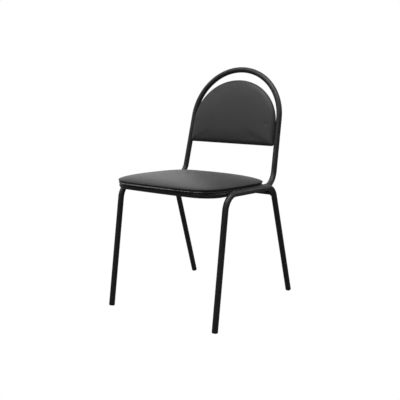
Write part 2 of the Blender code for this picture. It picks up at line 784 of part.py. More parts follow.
def add_seat_lug(name, side, spot):
    """Plate beside the top of a seat rail that reaches inward to its screw."""
    inner = SEAT_SCREW_HALF_WIDTH - LUG_EDGE_TO_HOLE
    outer = HOOP_HALF_WIDTH - math.sqrt(TUBE_RADIUS ** 2 - SEAT_LUG_LEVEL ** 2) - GAP
    edges = sorted((side * inner, side * outer))
    low = edges[0], spot[1] - SEAT_LUG_WIDTH / 2
    high = edges[1], spot[1] + SEAT_LUG_WIDTH / 2
    outline = rounded_rectangle(low, high, LUG_ROUND)
    hole = circle(spot, SCREW_RADIUS + GAP)
    add_plate(name, outline, hole, RAILS, Matrix.Translation((0, 0, SEAT_LUG_LEVEL)))


def build_back_covers():
    """Front and rear covers of the back pad, which meet at a seam round its edge."""
    wall = COVER_THICKNESS
    outer = PAD.dome(0)
    inner = PAD.dome(wall)[:-1] + [PAD.ring(wall, PAD_EDGE_LEVEL)]
    poles = PAD.pole(PAD_CROWN_LEVEL), PAD.pole(PAD_CROWN_LEVEL - wall)
    add_skin("back_front_cover", outer, inner, poles, POSTS)

    seam = PAD_EDGE_LEVEL - GAP
    inside = PAD.turn(wall)[::-1] + [PAD.ring(wall, seam)]
    outside = [PAD.ring(0, seam)] + PAD.turn(0)
    poles = PAD.pole(PAD_REAR_LEVEL + wall), PAD.pole(PAD_REAR_LEVEL)
    mesh = loft("back_rear_cover", inside + outside, *poles)
    return add_part("back_rear_cover", mesh, LEATHERETTE, POSTS)


def post_inner_edge(up):
    """Distance across from the middle to a post's inner side, at the level of the lugs."""
    nearest = min(abs(PAD_LUG_LEVEL), abs(PAD_LUG_LEVEL + LUG_THICKNESS))
    return post_line(up) - math.sqrt(TUBE_RADIUS ** 2 - nearest ** 2)


def build_back():
    """Board, foam, covers, lugs and fastenings of the back pad."""
    board = add_board("back_board", PAD, PAD_BOARD_LEVEL, POSTS)
    add_foam("back_foam", PAD, PAD_BOARD_LEVEL, POSTS)
    rear_cover = build_back_covers()
    outer = post_inner_edge(BACK_LUG_UP + BACK_LUG_WIDTH / 2) - GAP
    inner = BACK_SCREW_HALF_WIDTH - LUG_EDGE_TO_HOLE
    for name, side in SIDES:
        spot = (side * BACK_SCREW_HALF_WIDTH, BACK_LUG_UP)
        add_fastening("back", name, spot, PAD_LUG_LEVEL, PAD_BOARD_LEVEL, board, POSTS)
        hole = turned(f"cover_hole_{name}", screw_hole_profile(), FASTENER_STEPS)
        cut(rear_cover, add_cutter(hole, POSTS, Matrix.Translation((*spot, PAD_REAR_LEVEL))))
        edges = sorted((side * inner, side * outer))
        low = edges[0], BACK_LUG_UP - BACK_LUG_WIDTH / 2
        high = edges[1], BACK_LUG_UP + BACK_LUG_WIDTH / 2
        outline = rounded_rectangle(low, high, LUG_ROUND)
        place = Matrix.Translation((0, 0, PAD_LUG_LEVEL))
        add_plate("back_lug_" + name, outline, circle(spot, SCREW_RADIUS + GAP), POSTS, place)


def centre_on_origin():
    """Move the chair so that the origin lies under the middle of its depth."""
    bpy.context.view_layer.update()
    graph = bpy.context.evaluated_depsgraph_get()
    depths = []
    for obj in PARTS.objects:
        if obj.type == "EMPTY":
            continue
        solid = obj.evaluated_get(graph)
        mesh = solid.to_mesh()
        depths += [(solid.matrix_world @ vertex.co).y for vertex in mesh.vertices]
        solid.to_mesh_clear()
    CHAIR.location.y = -(min(depths) + max(depths)) / 2
    bpy.context.view_layer.update()


build_hoop()
for side_name, side_sign in SIDES:
    build_leg(side_name, side_sign)
build_cross_tube()
build_foot_plugs()
build_seat()
build_back()
centre_on_origin()
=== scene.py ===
"""Looks of a four-leg visitor chair: leatherette cushions, powder-coated tubes, plugs, screws, plywood.

Metres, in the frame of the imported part: +Z up, the chair faces -Y.
"""
import json
import math

import bmesh
import bpy
import numpy as np
from mathutils import Matrix, Vector


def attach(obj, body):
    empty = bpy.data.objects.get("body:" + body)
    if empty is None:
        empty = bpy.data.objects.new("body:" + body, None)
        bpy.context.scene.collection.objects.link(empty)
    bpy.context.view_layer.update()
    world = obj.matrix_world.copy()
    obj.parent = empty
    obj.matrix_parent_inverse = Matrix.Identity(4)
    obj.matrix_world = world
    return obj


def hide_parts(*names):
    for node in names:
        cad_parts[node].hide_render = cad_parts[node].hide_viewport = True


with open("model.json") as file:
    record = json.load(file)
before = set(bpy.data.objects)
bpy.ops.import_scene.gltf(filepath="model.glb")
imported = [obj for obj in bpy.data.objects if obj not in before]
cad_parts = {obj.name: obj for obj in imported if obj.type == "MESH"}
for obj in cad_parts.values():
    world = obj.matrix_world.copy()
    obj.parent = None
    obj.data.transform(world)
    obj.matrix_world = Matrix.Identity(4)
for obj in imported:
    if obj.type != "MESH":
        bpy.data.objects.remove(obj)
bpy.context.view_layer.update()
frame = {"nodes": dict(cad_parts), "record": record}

NODES = frame["nodes"]

# Pieces that touch are drawn this far apart, as in the part
GAP = 0.0003

# How far the part moved back when it was centred on its box
SHIFT_Y = 0.0054762

# The two planes that carry the pieces: X across, Y along the plane, Z square to it; slopes in degrees
RAIL_HEIGHT = 0.4164
RAIL_SLOPE = -2.94
RAIL_TURN = Matrix.Rotation(math.radians(RAIL_SLOPE), 4, "X")
RAIL_PLANE = Matrix.Translation((0, SHIFT_Y, RAIL_HEIGHT)) @ RAIL_TURN
RECLINE = 13.64
POST_TURN = Matrix.Rotation(math.radians(90 - RECLINE), 4, "X")
ARCH_CENTRE = Vector((0, 0.2034642 + SHIFT_Y, 0.6323556))
POST_PLANE = Matrix.Translation(ARCH_CENTRE) @ POST_TURN

# Tubes of the frame, where the part has them; the legs' places are those of the right side
TUBE_RADIUS = 0.010
TUBE_WALL = 0.0015
HOOP_HALF_WIDTH = 0.1929
FRONT_BAR = -0.2534336
FRONT_BOW = 0.0095
FRONT_CORNER = 0.070
POST_TOE = Vector((HOOP_HALF_WIDTH, 0.1492 + SHIFT_Y, 0.4087374))
POST_BEND = 0.062
ARCH_RADIUS = 0.1828
ARCH_TANGENT = 0.0431264
FRONT_LEG_END = Vector((0.2157708, -0.2489517 + SHIFT_Y, 0.0047914))
FRONT_LEG_CORNER = Vector((0.2132, -0.1832 + SHIFT_Y, 0.4258090))
REAR_LEG_CORNER = Vector((0.2132, 0.1129 + SHIFT_Y, 0.4106020))
REAR_LEG_END = Vector((0.2157627, 0.2477380 + SHIFT_Y, 0.0058890))
FRONT_LEG_BEND = 0.055
REAR_LEG_BEND = 0.050
CROSS_RADIUS = 0.008
CROSS_WALL = 0.0012
CROSS_END = Vector((0.2030, 0.1239, 0.3889))
CROSS_LEG_FALL = math.radians(57.8)
TUBE_SIDES = 32
BEND_STEP = math.radians(2.5)

# Lugs: the face that screws bear on, the edge welded to the tube, half the weld; then the screws' places
SEAT_LUG_LEVEL = 0.0075
SEAT_LUG_EDGE = 0.186
BACK_LUG_LEVEL = -0.0068
BACK_LUG_EDGE = 0.1736
LUG_HALF_WELD = 0.012
SEAT_SCREWS = {
    f"seat_screw_{end}_{name}": (side * 0.164, y)
    for end, y in (("front", -0.135), ("rear", 0.048))
    for name, side in (("left", -1), ("right", 1))
}
BACK_SCREWS = {"back_screw_left": (-0.1455, -0.017), "back_screw_right": (0.1455, -0.017)}

# Cross-head screws: length under the head, shank and tip, radii and depths over the head, then its recess
SCREW_LENGTH = 0.0104
SCREW_SHANK = 0.003
SCREW_TIP = 0.00225
SCREW_TIP_LENGTH = 0.0015
SCREW_HEAD = (
    (0.0060, 0.0), (0.0060, 0.0013), (0.00585, 0.0018), (0.0053, 0.0024), (0.0043, 0.00295),
    (0.0028, 0.0033), (0.0012, 0.0034),
)
SCREW_SIDES = 36
RECESS_ARM = (0.0030, 0.00062)
RECESS_DEPTH = 0.0020
RECESS_TAPER = 0.55

# Foot plugs: height of the head, then radii and heights from the sole up the stem
PLUG_HEAD = 0.0042
PLUG_PROFILE = (
    (0.0072, 0.0), (0.0083, 0.0002), (0.0092, 0.0008), (0.0098, 0.0017), (0.0100, 0.0028),
    (0.0100, 0.0042), (0.0071, 0.0042), (0.0071, 0.0120), (0.0060, 0.0242),
)

# Seat cushion, in the plane of the rails
SEAT_HALF = (0.207, 0.198)
SEAT_CENTRE = (0.0, -0.072)
SEAT_SQUARENESS = 4.6
SEAT_HEM = 0.0103
SEAT_EDGE = 0.0195
SEAT_CROWN = 0.048
SEAT_FULLNESS = 0.67
SEAT_DROP = 0.002
SEAT_DROP_POWER = 4
SEAT_BOARD_TOP = 0.0186
HEM_WIDTH = 0.030
HEM_THICKNESS = 0.001
HEM_ROWS = (0.009, 0.016, 0.023)
BOARD_INSET = 0.014
SEAT_CELLS = 40
SEAT_OUTLINE_POINTS = 4000

# Back pad, in the plane of the posts
PAD_HALF = 0.17315
PAD_LEAN = 0.04313
PAD_TOP = 0.1425
PAD_SPRING = -0.018
PAD_BOTTOM = -0.0925
PAD_CORNER = 0.0045
PAD_LEAST_CORNER = 0.0036
PAD_REAR = -0.004
PAD_EDGE = 0.006
PAD_EDGE_ROUND = 0.004
PAD_EDGE_ANGLES = np.radians((30, 50, 70))
PAD_CROWN = 0.0265
PAD_SHOULDER = 0.018
PAD_SHOULDER_SHARE = 0.78
PAD_CELLS = 40
PAD_ARCH_POINTS = 400
PAD_CORNER_POINTS = 40
PAD_FACE_SHARE = 0.6
PAD_CROWN_RUN = 0.10
PAD_CROWN_POWER = 0.7
PAD_SEAM_ANGLE = math.radians(10)

# Cushions start a little lower than they end up, and swell as cloth
SWELL = 0.003
SEAT_SWELL_CAP = 0.005
PAD_SWELL_CAP = 0.003
CLOTH_FRAMES = 20
CLOTH_SMOOTHING = 60
CLOTH_SETTINGS = {
    "quality": 6,
    "mass": 0.35,
    "tension_stiffness": 25,
    "compression_stiffness": 25,
    "shear_stiffness": 12,
    "bending_stiffness": 10,
    "use_pressure": True,
    "uniform_pressure_force": 4,
}

# Edges sharper than this stay sharp
SHARP_ANGLE = math.radians(40)

# Soft lights round the chair: azimuth from +X and elevation in degrees, power in watts; then the sky
LIGHTS = (
    ("front_left_high", -100.4, 68, 39.3),
    ("right_high", -10.4, 68, 38.5),
    ("left", -145.4, 38, 20.6),
    ("rear", 124.6, 38, 18.0),
    ("right", 57.1, 20, 9.4),
    ("front_high", -55.4, 68, 9.1),
    ("rear_left", 147.1, 20, 7.7),
    ("rear_left_low", 169.6, 8, 6.7),
    ("rear_low", 124.6, 8, 5.8),
    ("front_left", -100.4, 38, 5.6),
    ("front_left_low", -77.9, 20, 4.9),
    ("right_rear", 34.6, 38, 3.8),
    ("rear_right", 79.6, 38, 2.7),
    ("rear_right_low", 102.1, 20, 2.1),
    ("right_low", -10.4, 8, 1.2),
)
LIGHT_SIZE = 1.6
LIGHT_DISTANCE = 3.0
LIGHT_TARGET = Vector((0, 0, 0.45))
SKY_ABOVE = 0.0
SKY_BELOW = 0.18
SKY_BLEND = 0.05
WHITE = (1, 1, 1, 1)

# Floor, and the camera: its tilt below the horizon and its turn in degrees, its lens in millimetres
FLOOR_HALF = 12
FLOOR_CELLS = 8
CAMERA_PLACE = (1.2216, -1.7714 + SHIFT_Y, 0.7737)
CAMERA_TILT = 10.913
CAMERA_TURN = 34.902
CAMERA_LENS = 56.09
CAMERA_SENSOR = 36

# Rolled hem round the seat: inset, level, radius, points round the seat and round the roll; the share that
# its gathers add to the radius, and the strength, number and phase of each wave in them
HEM_ROLL_INSET = 0.0030
HEM_ROLL_LEVEL = 0.0092
HEM_ROLL_RADIUS = 0.0019
HEM_ROLL_POINTS = 960
HEM_ROLL_SIDES = 10
HEM_GATHER = 0.24
HEM_WAVES = ((0.5, 191, 0), (0.3, 233, 1), (0.3, 57, 2))

# Where the painted highlight on the hem's edge begins along Y, and breaks into dashes and stops along X
HEM_HIGHLIGHT_FRONT = (-0.20, -0.255)
HEM_HIGHLIGHT_BREAKS = (0.03, 0.07)
HEM_HIGHLIGHT_END = (0.14, 0.18)

# Weld beads: radius, height of the ripples as a share of it, their pitch, the points to each and round
# the bead, and the share of the radius at its ends
BEAD_RADIUS = 0.0024
BEAD_RIPPLE = 0.12
BEAD_PITCH = 0.0024
BEAD_POINTS = 6
BEAD_SIDES = 10
BEAD_END = 0.3

# Where the beads lie: along the rails, on the lugs' edges and round the ends of the cross tube
RAIL_BEADS = ((-0.150, -0.118), (0.028, 0.060))
RAIL_BEAD_LEVEL = -0.0058
SEAT_BEAD_INSET = 0.0004
SEAT_BEAD_DROP = 0.0006
BACK_BEAD_DROP = 0.0004
SADDLE_POINTS = 121
SADDLE_LIFT = 0.0006
SADDLE_REACH = 0.0094

# Pulls in the pad over its screws: depth and width, then depth and number of the folds round each
PULL_DEPTH = 0.0009
PULL_WIDTH = 0.007
PULL_FOLD = 0.0004
PULL_FOLDS = 5

# Insets and levels down the seat's side to its hem, and over the pad's seam
SEAT_SIDE = (
    (0.0002, 0.0185), (0.0006, 0.0172), (0.0011, 0.0159), (0.0018, 0.0147), (0.0026, 0.0136),
    (0.0033, 0.0125), (0.0036, 0.0114), (0.0042, 0.0106), (0.0065, 0.0103),
)
PAD_SEAM = (
    (0.0012, 0.0077), (0.0013, 0.0071), (0.0004, 0.0067), (-0.0004, 0.0061), (-0.0004, 0.0054),
    (0.0005, 0.0049), (0.0011, 0.0044), (0.0006, 0.0037),
)

# Colours of the materials, and where fractal noise is low and high
LEATHER_DARK = (0.039, 0.039, 0.0395)
LEATHER_PALE = (0.044, 0.044, 0.044)
HEM_DARK = (0.05, 0.05, 0.05)
# Pale grey painted as a highlight on the lit front of the hem roll
HEM_PAINTED_HIGHLIGHT = (0.33, 0.325, 0.315)
PAINT_DARK = (0.012, 0.012, 0.0125)
PAINT_PALE = (0.016, 0.016, 0.0165)
PLASTIC_CLEAN = (0.009, 0.009, 0.009)
PLASTIC_SCUFFED = (0.03, 0.03, 0.029)
ZINC_DULL = (0.55, 0.54, 0.50)
ZINC_BRIGHT = (0.66, 0.65, 0.63)
PLY_DARK = (0.42, 0.27, 0.14)
PLY_MIDDLE = (0.53, 0.37, 0.21)
PLY_PALE = (0.60, 0.44, 0.27)
LOW, MIDDLE, HIGH = 0.3, 0.5, 0.7


def along(points, shares):
    """Places on a closed outline, given as shares of its length."""
    loop = np.vstack((points, points[:1]))
    steps = np.linalg.norm(np.diff(loop, axis=0), axis=1)
    run = np.concatenate(([0], np.cumsum(steps))) / steps.sum()
    return np.column_stack([np.interp(shares, run, loop[:, axis]) for axis in (0, 1)])


def seat_outline(inset):
    """Rounded square planform of the seat, from the middle of its right side."""
    angles = np.linspace(0, 2 * math.pi, SEAT_OUTLINE_POINTS, endpoint=False)
    power = 2 / SEAT_SQUARENESS
    across, forward = np.cos(angles), np.sin(angles)
    x = (SEAT_HALF[0] - inset) * np.sign(across) * abs(across) ** power
    y = (SEAT_HALF[1] - inset) * np.sign(forward) * abs(forward) ** power
    return np.column_stack((x, y)) + SEAT_CENTRE


def seat_sag(y):
    """Fall of the seat's top towards its front edge."""
    return SEAT_DROP * np.maximum(0, (SEAT_CENTRE[1] - y) / SEAT_HALF[1]) ** SEAT_DROP_POWER


def pad_outline(inset):
    """D-shaped outline of the back pad, from its right side; below the arch it follows the posts."""
    half = PAD_HALF - inset
    base = PAD_BOTTOM + inset
    corner = max(PAD_CORNER - inset, PAD_LEAST_CORNER)
    foot = half + (PAD_SPRING - base - corner) * PAD_LEAN
    turn = np.linspace(0, math.pi, PAD_ARCH_POINTS)
    rise = PAD_TOP - PAD_SPRING - inset
    points = [np.column_stack((half * np.cos(turn), PAD_SPRING + rise * np.sin(turn)))]
    for start, sign in ((180, -1), (270, 1)):
        angles = np.radians(np.linspace(start, start + 90, PAD_CORNER_POINTS))
        x = sign * (foot - corner) + corner * np.cos(angles)
        points.append(np.column_stack((x, base + corner + corner * np.sin(angles))))
    return np.vstack(points)


def no_sag(y):
    """A cushion that lies flat."""
    return 0 * y


def square_ring(size):
    """Grid places round a square, counter-clockwise from the middle of its right side."""
    right = [(size, row) for row in range(-size, size)]
    top = [(-column, size) for column in range(-size, size)]
    left = [(-size, -row) for row in range(-size, size)]
    bottom = [(column, -size) for column in range(-size, size)]
    return right[size:] + top + left + bottom + right[:size]


class Cushion:
    """A closed cushion: a square grid drawn into the outline for each face, and rows round the side."""

    def __init__(self, outline, centre, sag, cells):
        self.outline = outline
        self.centre = np.array(centre)
        self.sag = sag
        self.cells = cells
        self.points = []
        self.faces = []

    def row(self, inset, level, sag_share, scale=1.0, size=None):
        """Points of one row round the cushion, as many as the grid's ring of that size has places."""
        count = len(square_ring(size or self.cells))
        flat = along(self.outline(inset), np.arange(count) / count)
        flat = self.centre + (flat - self.centre) * scale
        return np.column_stack((flat, level - sag_share * self.sag(flat[:, 1])))

    def add(self, rows):
        """Keep points and give their numbers."""
        first = sum(len(kept) for kept in self.points)
        self.points.append(rows)
        return list(range(first, first + len(rows)))

    def face(self, place, outward):
        """A face as a square grid; place gives inset, scale and level for a share of the way out.

        Gives the numbers of its outermost points, in order.
        """
        level = place(0)[2]
        grid = {(0, 0): self.add(np.array([[*self.centre, level]]))[0]}
        for size in range(1, self.cells + 1):
            inset, scale, level = place(size / self.cells)
            numbers = self.add(self.row(inset, level, float(outward), scale, size))
            grid.update(zip(square_ring(size), numbers))
        for column in range(-self.cells, self.cells):
            for row in range(-self.cells, self.cells):
                corners = [(column, row), (column + 1, row), (column + 1, row + 1), (column, row + 1)]
                numbers = [grid[corner] for corner in corners]
                self.faces.append(numbers if outward else numbers[::-1])
        return [grid[spot] for spot in square_ring(self.cells)]

    def side(self, rim, profile):
        """Rows from a rim down a profile of insets, levels and sag shares; gives the last row."""
        for inset, level, sag_share in profile:
            lower = self.add(self.row(inset, level, sag_share))
            self.join(rim, lower)
            rim = lower
        return rim

    def join(self, upper, lower):
        """Faces between two rows."""
        for index in range(len(upper)):
            after = (index + 1) % len(upper)
            self.faces.append((upper[index], lower[index], lower[after], upper[after]))

    def build(self, name):
        """The finished mesh as an object."""
        mesh = bpy.data.meshes.new(name)
        mesh.from_pydata(np.vstack(self.points).tolist(), [], self.faces)
        mesh.shade_smooth()
        return add_piece(name, mesh)


def flat_face(inset, level):
    """Places of a flat face inside an outline."""
    return lambda share: (inset, share, level)


def seat_top(share):
    """Inset, scale and level on the seat's crown, before it swells."""
    scale = math.sin(math.pi / 2 * share)
    rise = SEAT_CROWN - SWELL - SEAT_EDGE
    return 0, scale, SEAT_EDGE + rise * max(0, 1 - scale ** 2) ** SEAT_FULLNESS


def pad_front(share):
    """Inset, scale and level on the pad's front, before its face is crowned: a round shoulder."""
    rise = (PAD_CROWN - SWELL - PAD_EDGE) * PAD_SHOULDER_SHARE
    if share < PAD_FACE_SHARE:
        return PAD_SHOULDER, share / PAD_FACE_SHARE, PAD_EDGE + rise
    part = (share - PAD_FACE_SHARE) / (1 - PAD_FACE_SHARE)
    angle = math.pi / 2 + (PAD_SEAM_ANGLE - math.pi / 2) * part
    return PAD_SHOULDER * (1 - math.cos(angle)), 1.0, PAD_EDGE + rise * math.sin(angle)


def pad_crown(points):
    """Height of the gentle crown inside the pad's shoulder, at points across and up."""
    x, up = points.T
    half = PAD_HALF - PAD_SHOULDER + np.maximum(0, PAD_SPRING - up) * PAD_LEAN
    over = np.maximum(0, up - PAD_SPRING) / (PAD_TOP - PAD_SPRING - PAD_SHOULDER)
    beside = np.maximum(0, 1 - (x / half) ** 2 - over ** 2)
    above = np.clip((up - PAD_BOTTOM - PAD_SHOULDER) / PAD_CROWN_RUN, 0, 1)
    share = (beside * above * (2 - above)) ** PAD_CROWN_POWER
    return (PAD_CROWN - SWELL - PAD_EDGE) * (1 - PAD_SHOULDER_SHARE) * share


def band(near, far, sides, flip=False):
    """Faces between two rings of points, from the number of each ring's first point."""
    faces = []
    for side in range(sides):
        after = (side + 1) % sides
        if flip:
            side, after = after, side
        faces.append((near + side, near + after, far + after, far + side))
    return faces


def sweep(path, radii, sides, closed=False):
    """Points and faces of a round bar along a path; its radius may change on the way."""
    path = np.array(path)
    if closed:
        ahead = np.roll(path, -1, axis=0) - np.roll(path, 1, axis=0)
    else:
        ahead = np.gradient(path, axis=0)
    ahead /= np.linalg.norm(ahead, axis=1, keepdims=True)
    across = [np.cross(ahead[0], np.roll(ahead[0], 1))]
    for direction in ahead:
        kept = across[-1] - direction * (across[-1] @ direction)
        across.append(kept / np.linalg.norm(kept))
    across = np.array(across[1:])
    over = np.cross(ahead, across)
    twist = 0
    if closed:
        last = across[-1] - ahead[0] * (across[-1] @ ahead[0])
        twist = math.atan2(last @ over[0], last @ across[0])
    angles = np.linspace(0, -twist, len(path))[:, None] + 2 * math.pi * np.arange(sides) / sides
    wide = np.broadcast_to(radii, len(path))[:, None, None]
    rings = np.cos(angles)[:, :, None] * across[:, None] + np.sin(angles)[:, :, None] * over[:, None]
    points = (path[:, None] + wide * rings).reshape(-1, 3)
    faces = []
    for row in range(len(path) - (not closed)):
        faces += band(row * sides, (row + 1) % len(path) * sides, sides)
    return points, faces


def bar(path, radii, sides):
    """A solid bar with flat ends."""
    points, faces = sweep(path, radii, sides)
    last = len(points) - sides
    return points, faces + [tuple(range(sides))[::-1], tuple(range(last, last + sides))]


def pipe(path, radius, wall):
    """A hollow tube with open ends."""
    outer, faces = sweep(path, radius, TUBE_SIDES)
    inner, lining = sweep(path, radius - wall, TUBE_SIDES)
    first = len(outer)
    faces += [tuple(first + number for number in face[::-1]) for face in lining]
    last = first - TUBE_SIDES
    faces += band(0, first, TUBE_SIDES, flip=True) + band(last, first + last, TUBE_SIDES)
    return np.vstack((outer, inner)), faces


def turned(profile, sides):
    """A closed body of revolution; its profile of radii and levels runs from the top down."""
    angles = 2 * math.pi * np.arange(sides) / sides
    points = [
        (radius * math.cos(angle), radius * math.sin(angle), level)
        for radius, level in profile
        for angle in angles
    ]
    faces = []
    for row in range(len(profile) - 1):
        faces += band(row * sides, (row + 1) * sides, sides, flip=True)
    last = len(points) - sides
    faces += [tuple(range(sides)), tuple(range(last, last + sides))[::-1]]
    return np.array(points), faces


def joined(shapes):
    """Several shapes as one."""
    points, faces = [], []
    for shape_points, shape_faces in shapes:
        first = sum(len(kept) for kept in points)
        points.append(shape_points)
        faces += [tuple(first + number for number in face) for face in shape_faces]
    return np.vstack(points), faces


def add_shape(name, shape, place=None):
    """A new object from points and faces, smooth but for its sharp edges."""
    mesh = bpy.data.meshes.new(name)
    mesh.from_pydata(shape[0].tolist(), [], shape[1])
    mesh.shade_smooth()
    mesh.set_sharp_from_angle(angle=SHARP_ANGLE)
    return add_piece(name, mesh, place)


def mirrored(points):
    """The same points on the left side."""
    return [Vector((-point.x, point.y, point.z)) for point in points]


def arc(centre, first, last):
    """Points from first to last round a centre."""
    start, end = first - centre, last - centre
    sweep_angle = start.angle(end)
    count = max(2, math.ceil(sweep_angle / BEND_STEP))
    points = []
    for index in range(count + 1):
        part = index / count
        weights = math.sin((1 - part) * sweep_angle), math.sin(part * sweep_angle)
        points.append(centre + (start * weights[0] + end * weights[1]) / math.sin(sweep_angle))
    return points


def bend(before, corner, after, radius):
    """Points round a tube bend between two straight runs."""
    inward = (before - corner).normalized()
    outward = (after - corner).normalized()
    half = inward.angle(outward) / 2
    middle = corner + (inward + outward).normalized() * (radius / math.sin(half))
    reach = radius / math.tan(half)
    return arc(middle, corner + inward * reach, corner + outward * reach)


def add_piece(name, data, place=None):
    """A new object in the scene, from a mesh, lamp or lens."""
    obj = bpy.data.objects.new(name, data)
    bpy.context.scene.collection.objects.link(obj)
    if place:
        obj.matrix_world = place
    return obj


def points_of(mesh):
    """A mesh's points as an array."""
    flat = np.empty(len(mesh.vertices) * 3)
    mesh.vertices.foreach_get("co", flat)
    return flat.reshape(-1, 3)


def set_points(mesh, points):
    """Put a mesh's points where the array says."""
    mesh.vertices.foreach_set("co", points.ravel())
    mesh.update()


def swell(obj, free, cap):
    """Blow a cushion up as cloth held past its first free points; its rise is capped and evened out."""
    held = np.arange(len(obj.data.vertices)) >= free
    group = obj.vertex_groups.new(name="held")
    group.add([int(index) for index in np.flatnonzero(held)], 1.0, "REPLACE")
    cloth = obj.modifiers.new("swell", "CLOTH")
    for setting, value in CLOTH_SETTINGS.items():
        setattr(cloth.settings, setting, value)
    cloth.settings.vertex_group_mass = group.name
    cloth.settings.effector_weights.gravity = 0
    cloth.point_cache.frame_start = 1
    cloth.point_cache.frame_end = CLOTH_FRAMES
    scene = bpy.context.scene
    rest = points_of(obj.data)
    for number in range(1, CLOTH_FRAMES + 1):
        scene.frame_set(number)
    solved = obj.evaluated_get(bpy.context.evaluated_depsgraph_get())
    move = points_of(solved.data) - rest
    obj.modifiers.remove(cloth)
    obj.vertex_groups.clear()
    scene.frame_set(1)
    move[:, :2] = 0
    move[:, 2] = np.clip(move[:, 2], 0, cap)
    set_points(obj.data, rest + evened(obj.data, move, held))


def evened(mesh, move, held):
    """A move of every point, averaged with its neighbours' moves until it is smooth."""
    ends = np.empty(len(mesh.edges) * 2, int)
    mesh.edges.foreach_get("vertices", ends)
    first, second = ends.reshape(-1, 2).T
    count = np.bincount(ends, minlength=len(move))[:, None]
    for _ in range(CLOTH_SMOOTHING):
        around = np.zeros_like(move)
        np.add.at(around, first, move[second])
        np.add.at(around, second, move[first])
        move = np.where(held[:, None], 0, (move + around / count) / 2)
    return move


def apply(obj, modifier):
    """Make a modifier's result the piece's own mesh."""
    solved = obj.evaluated_get(bpy.context.evaluated_depsgraph_get())
    mesh = bpy.data.meshes.new_from_object(solved)
    obj.modifiers.remove(modifier)
    old = obj.data
    obj.data = mesh
    bpy.data.meshes.remove(old)
    mesh.name = obj.name
    return mesh


def subdivide(obj):
    """One subdivision, applied."""
    modifier = obj.modifiers.new("finer", "SUBSURF")
    modifier.levels = modifier.render_levels = 1
    apply(obj, modifier).shade_smooth()


class Finish:
    """A material whose colour, roughness and bump come from nodes laid out by short calls."""

    # Sockets of the node that mixes colours, by number because their names are not unique
    SHARE, FIRST, SECOND, MIXED = 0, 6, 7, 2

    def __init__(self, name, **sockets):
        self.material = bpy.data.materials.new(name)
        self.material.use_nodes = True
        self.tree = self.material.node_tree
        self.shader = self.tree.nodes["Principled BSDF"]
        self.where = self.tree.nodes.new("ShaderNodeTexCoord").outputs["Object"]
        for socket, value in sockets.items():
            self.shader.inputs[socket.replace("_", " ")].default_value = value

    def link(self, source, target):
        """Join two sockets."""
        self.tree.links.new(source, target)

    def noise(self, scale, detail, stretch=None, distortion=0.0):
        """Fractal noise of a number of features to the metre."""
        node = self.tree.nodes.new("ShaderNodeTexNoise")
        node.inputs["Scale"].default_value = scale
        node.inputs["Detail"].default_value = detail
        node.inputs["Distortion"].default_value = distortion
        self.link(self.stretched(stretch), node.inputs["Vector"])
        return node.outputs["Fac"]

    def cells(self, scale):
        """Distance to the edges of small cells, as in leather grain."""
        node = self.tree.nodes.new("ShaderNodeTexVoronoi")
        node.feature = "DISTANCE_TO_EDGE"
        node.inputs["Scale"].default_value = scale
        self.link(self.where, node.inputs["Vector"])
        return node.outputs["Distance"]

    def stretched(self, stretch):
        """Object coordinates, drawn out along an axis where asked."""
        if not stretch:
            return self.where
        node = self.tree.nodes.new("ShaderNodeMapping")
        node.inputs["Scale"].default_value = stretch
        self.link(self.where, node.inputs["Vector"])
        return node.outputs["Vector"]

    def reach(self, axis, start, end):
        """Share of the way from one place to another along an axis of the piece."""
        split = self.tree.nodes.new("ShaderNodeSeparateXYZ")
        self.link(self.where, split.inputs[0])
        node = self.tree.nodes.new("ShaderNodeMapRange")
        node.inputs["From Min"].default_value = start
        node.inputs["From Max"].default_value = end
        self.link(split.outputs[axis], node.inputs["Value"])
        return node.outputs["Result"]

    def ramp(self, source, *stops):
        """Colours or greys at places along a value."""
        node = self.tree.nodes.new("ShaderNodeValToRGB")
        ramp = node.color_ramp
        while len(ramp.elements) < len(stops):
            ramp.elements.new(MIDDLE)
        for element, (place, colour) in zip(ramp.elements, stops):
            element.position = place
            element.color = (*colour, 1) if isinstance(colour, tuple) else (colour, colour, colour, 1)
        self.link(source, node.inputs["Fac"])
        return node.outputs["Color"]

    def mix(self, share, first, second, blend="MIX"):
        """Two colours mixed by a share, which may be a socket."""
        node = self.tree.nodes.new("ShaderNodeMix")
        node.data_type = "RGBA"
        node.blend_type = blend
        for value, index in ((share, self.SHARE), (first, self.FIRST), (second, self.SECOND)):
            if isinstance(value, bpy.types.NodeSocket):
                self.link(value, node.inputs[index])
            else:
                node.inputs[index].default_value = value if index == self.SHARE else (*value, 1)
        return node.outputs[self.MIXED]

    def colour(self, source):
        """What the base colour comes from."""
        self.link(source, self.shader.inputs["Base Color"])

    def roughness(self, source, low, high):
        """Roughness between two values."""
        self.link(self.ramp(source, (LOW, low), (HIGH, high)), self.shader.inputs["Roughness"])

    def bump(self, *layers):
        """Bump from heights, each with its depth in metres."""
        normal = None
        for height, depth in layers:
            node = self.tree.nodes.new("ShaderNodeBump")
            node.inputs["Distance"].default_value = depth
            self.link(height, node.inputs["Height"])
            if normal:
                self.link(normal, node.inputs["Normal"])
            normal = node.outputs["Normal"]
        self.link(normal, self.shader.inputs["Normal"])


def leatherette():
    """Black leatherette: fine pebble grain, satin, a little uneven in tone."""
    made = Finish("leatherette", Specular_IOR_Level=0.35)
    broad = made.ramp(made.noise(scale=9, detail=2), (LOW, LEATHER_DARK), (HIGH, LEATHER_PALE))
    fleck = made.ramp(made.noise(scale=1600, detail=1), (LOW, 0.86), (HIGH, 1.0))
    made.colour(made.mix(1.0, broad, fleck, "MULTIPLY"))
    made.roughness(made.noise(scale=60, detail=4), low=0.49, high=0.53)
    made.bump(
        (made.cells(scale=700), 0.00012),
        (made.noise(scale=1900, detail=2), 0.00005),
        (made.noise(scale=45, detail=2), 0.00006),
    )
    return made.material


